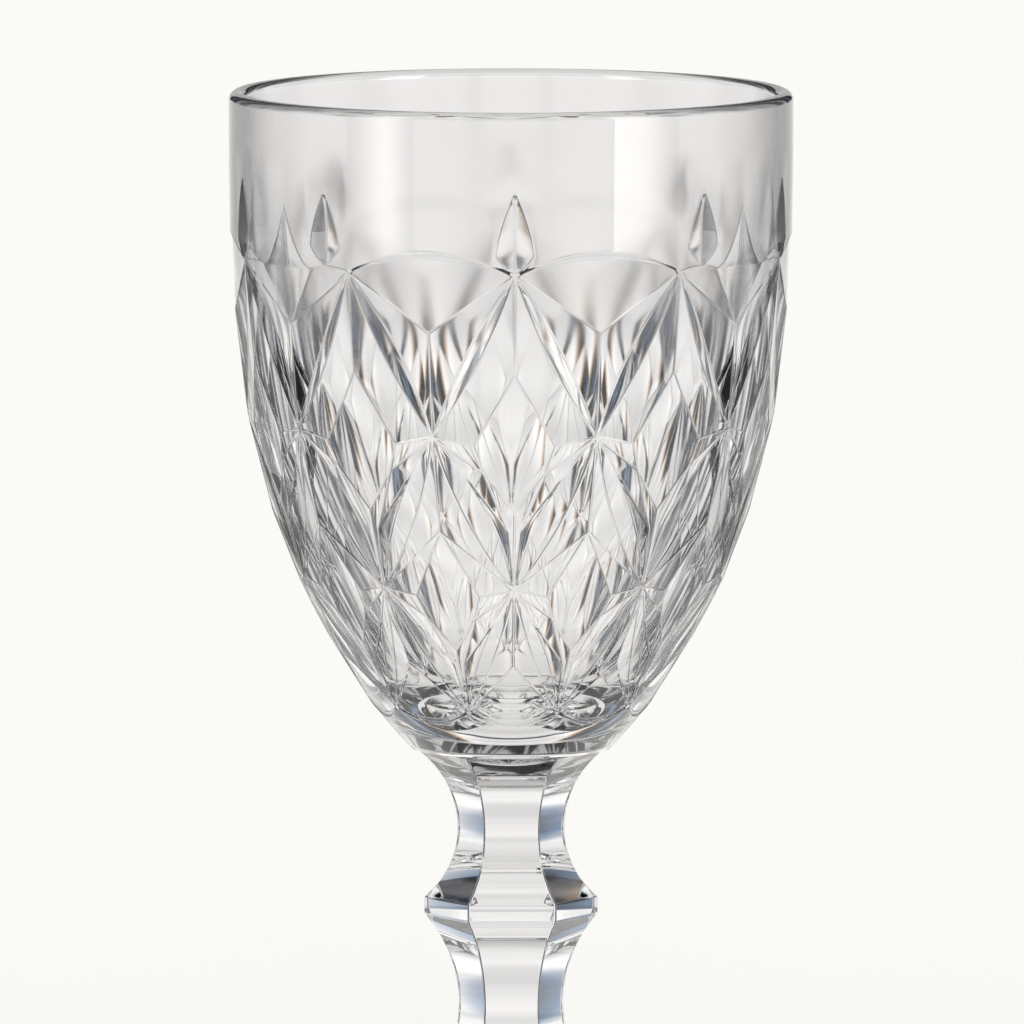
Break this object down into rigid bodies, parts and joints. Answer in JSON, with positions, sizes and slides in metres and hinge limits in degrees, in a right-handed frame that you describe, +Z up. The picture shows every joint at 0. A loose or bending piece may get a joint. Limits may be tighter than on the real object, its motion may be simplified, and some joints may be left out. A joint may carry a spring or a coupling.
{
  "type": "stemmed drinking glass",
  "caption": "Heavy clear stemmed glass: deep rounded bowl with diamond-cut leaf facets under a plain rim, six-sided fluted stem with a knop, round foot.",
  "frame": {"origin": "on the table plane under the glass's axis, in the middle of the foot's resting ring", "axes": "+Z up along the glass's axis towards the rim, -Y to the front, where a star of the top row and a flat of the stem face"},
  "size_m": [0.084, 0.084, 0.16],
  "materials": {
    "clear_glass": "clear, fire-polished"
  },
  "bodies": {
    "root": {"bowl": "clear_glass", "stem": "clear_glass", "foot": "clear_glass"}
  },
  "joints": []
}
